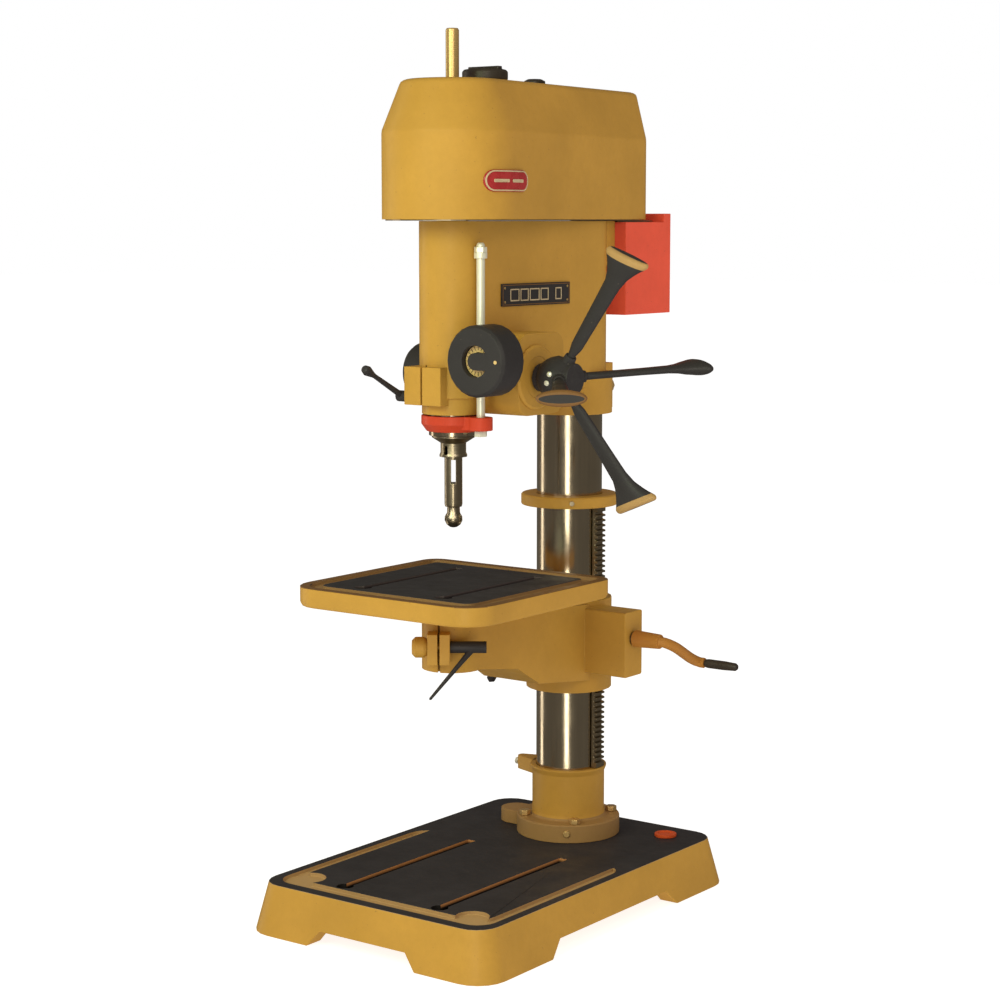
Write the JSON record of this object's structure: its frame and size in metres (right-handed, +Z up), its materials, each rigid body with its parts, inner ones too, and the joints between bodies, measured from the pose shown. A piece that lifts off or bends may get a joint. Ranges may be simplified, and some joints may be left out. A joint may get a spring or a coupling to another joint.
{
  "type": "drill press",
  "caption": "Column drill press: cast base, round column, rising and swinging slotted table, belt-driven head with quill feed and fine-feed wheel",
  "frame": {"origin": "on the floor under the middle of the machine's bounding box", "axes": "+Z up along the column, -Y towards the operator, +X to the operator's right"},
  "size_m": [0.5245, 0.698, 1.285],
  "materials": {
    "ochre_paint": "satin",
    "red_paint": "satin",
    "black_paint": "satin",
    "cast_iron": "machined",
    "polished_steel": "polished",
    "bright_steel": "satin",
    "dark_steel": "oiled",
    "brass": "satin",
    "rubber": "matte",
    "black_plastic": "matte",
    "red_plastic": "gloss",
    "green_plastic": "gloss"
  },
  "bodies": {
    "frame": {"base_casting": "ochre_paint", "base_sump_plug": "red_paint", "column": "polished_steel", "column_foot": "ochre_paint", "foot_bolt_1": "bright_steel", "foot_bolt_2": "bright_steel", "foot_bolt_3": "bright_steel", "foot_bolt_4": "bright_steel", "rack_collar": "ochre_paint", "head_casting": "ochre_paint", "head_clamp_bolt": "bright_steel", "gearbox_cover": "ochre_paint", "name_plate": "black_paint", "sleeve_bearing": "bright_steel", "motor_stator": "dark_steel", "drive_belt": "rubber", "hood_floor": "dark_steel", "hood": "ochre_paint", "hood_badge": "red_plastic", "motor_shroud": "red_paint", "spring_housing": "black_paint", "return_spring": "bright_steel", "switch_box": "black_plastic"},
    "quill": {"quill": "polished_steel", "quill_bearing_lower": "bright_steel", "quill_bearing_upper": "bright_steel", "quill_collar": "red_paint", "depth_rod": "bright_steel"},
    "stop_nut": {"depth_stop_nut": "bright_steel"},
    "spindle": {"spindle": "brass", "drill_sleeve": "dark_steel", "countersink": "dark_steel"},
    "drive_pulley": {"spindle_pulley": "dark_steel"},
    "motor": {"motor_rotor": "dark_steel", "motor_pulley": "dark_steel"},
    "feed_shaft": {"feed_pinion_shaft": "dark_steel", "feed_hub": "black_paint", "feed_arm_1": "black_paint", "feed_arm_2": "black_paint", "feed_arm_3": "black_paint", "feed_arm_4": "black_paint"},
    "fine_feed": {"fine_feed_wheel": "black_paint", "worm_shaft": "dark_steel"},
    "feed_worm_wheel": {"worm_wheel": "brass"},
    "quill_lock": {"quill_lock_lever": "black_paint"},
    "tension": {"tension_knob": "black_plastic"},
    "hood_latch": {"hood_latch_knob": "black_plastic"},
    "start": {"start_button": "green_plastic"},
    "stop": {"stop_button": "red_plastic"},
    "rack": {"column_rack": "dark_steel"},
    "arm": {"table_arm": "ochre_paint", "table_clamp_bolt": "ochre_paint"},
    "table": {"table": "cast_iron", "table_stem": "polished_steel"},
    "table_clamp": {"table_clamp_lever": "black_paint"},
    "arm_clamp": {"arm_clamp_lever": "black_paint"},
    "lift_gear": {"lift_pinion": "dark_steel"},
    "crank": {"crank_shaft": "dark_steel", "crank_arm": "ochre_paint"},
    "crank_handle": {"crank_grip": "black_plastic"}
  },
  "joints": [
    {"name": "quill_feed", "type": "slide", "parent": "frame", "child": "quill", "axis": [0, 0, -1], "range_m": [0, 0.075], "stiffness_N_per_m": 400, "springref_m": -0.35},
    {"name": "stop_nut_travel", "type": "slide", "parent": "quill", "child": "stop_nut", "axis": [0, 0, -1], "range_m": [0, 0.02]},
    {"name": "spindle_spin", "type": "hinge", "parent": "quill", "child": "spindle", "pos_m": [-0.043, -0.131, 0.8], "axis": [0, 0, 1], "continuous": true},
    {"name": "drive_spin", "type": "hinge", "parent": "frame", "child": "drive_pulley", "pos_m": [-0.043, -0.131, 1.06], "axis": [0, 0, 1], "continuous": true},
    {"name": "motor_spin", "type": "hinge", "parent": "frame", "child": "motor", "pos_m": [-0.043, 0.272, 1], "axis": [0, 0, 1], "continuous": true},
    {"name": "feed_turn", "type": "hinge", "parent": "frame", "child": "feed_shaft", "pos_m": [-0.043, -0.0811, 0.799], "axis": [1, 0, 0], "range_deg": [0, 250]},
    {"name": "fine_feed_turn", "type": "hinge", "parent": "frame", "child": "fine_feed", "pos_m": [0.055, -0.16, 0.827], "axis": [0, 1, 0], "continuous": true},
    {"name": "worm_wheel_turn", "type": "hinge", "parent": "frame", "child": "feed_worm_wheel", "pos_m": [0.055, -0.0811, 0.799], "axis": [1, 0, 0], "continuous": true},
    {"name": "quill_lock_turn", "type": "hinge", "parent": "frame", "child": "quill_lock", "pos_m": [-0.093, -0.178, 0.771], "axis": [1, 0, 0], "range_deg": [-10, 40]},
    {"name": "tension_turn", "type": "hinge", "parent": "frame", "child": "tension", "pos_m": [-0.043, -0.055, 1.22], "axis": [0, 0, 1], "range_deg": [-135, 135]},
    {"name": "hood_latch_turn", "type": "hinge", "parent": "frame", "child": "hood_latch", "pos_m": [-0.043, 0.066, 1.22], "axis": [0, 0, 1], "range_deg": [0, 90]},
    {"name": "start_press", "type": "slide", "parent": "frame", "child": "start", "axis": [1, 0, 0], "range_m": [0, 0.004], "stiffness_N_per_m": 400, "springref_m": -0.003},
    {"name": "stop_press", "type": "slide", "parent": "frame", "child": "stop", "axis": [1, 0, 0], "range_m": [0, 0.004], "stiffness_N_per_m": 400, "springref_m": -0.003},
    {"name": "arm_swing", "type": "hinge", "parent": "frame", "child": "rack", "pos_m": [-0.043, 0.16, 0.38], "axis": [0, 0, 1], "continuous": true},
    {"name": "arm_lift", "type": "slide", "parent": "rack", "child": "arm", "axis": [0, 0, -1], "range_m": [-0.07, 0.115]},
    {"name": "lift_gear_turn", "type": "hinge", "parent": "arm", "child": "lift_gear", "pos_m": [0.0275, 0.16, 0.372], "axis": [0, 1, 0], "range_deg": [-325, 530]},
    {"name": "crank_turn", "type": "hinge", "parent": "arm", "child": "crank", "pos_m": [0.077, 0.14, 0.394], "axis": [1, 0, 0], "range_deg": [-4500, 7400]},
    {"name": "crank_grip_spin", "type": "hinge", "parent": "crank", "child": "crank_handle", "pos_m": [0.193, 0.222, 0.352], "axis": [1, 0, 0], "continuous": true},
    {"name": "table_swivel", "type": "hinge", "parent": "arm", "child": "table", "pos_m": [-0.043, -0.135, 0.43], "axis": [0, 0, 1], "continuous": true},
    {"name": "table_clamp_turn", "type": "hinge", "parent": "arm", "child": "table_clamp", "pos_m": [-0.01088, -0.17841, 0.418], "axis": [0.8039, 0.5948, 0], "range_deg": [-60, 10]},
    {"name": "arm_clamp_turn", "type": "hinge", "parent": "arm", "child": "arm_clamp", "pos_m": [-0.127, 0.132, 0.375], "axis": [0, 1, 0], "range_deg": [0, 60]}
  ],
  "couplings": [
    {"joint": "feed_turn", "follows": "quill_feed", "rad_per_m": 57.143},
    {"joint": "spindle_spin", "follows": "drive_spin", "ratio": 1},
    {"joint": "motor_spin", "follows": "drive_spin", "ratio": 1.8235},
    {"joint": "worm_wheel_turn", "follows": "fine_feed_turn", "ratio": 0.05},
    {"joint": "lift_gear_turn", "follows": "arm_lift", "rad_per_m": 80},
    {"joint": "crank_turn", "follows": "arm_lift", "rad_per_m": 1120}
  ]
}
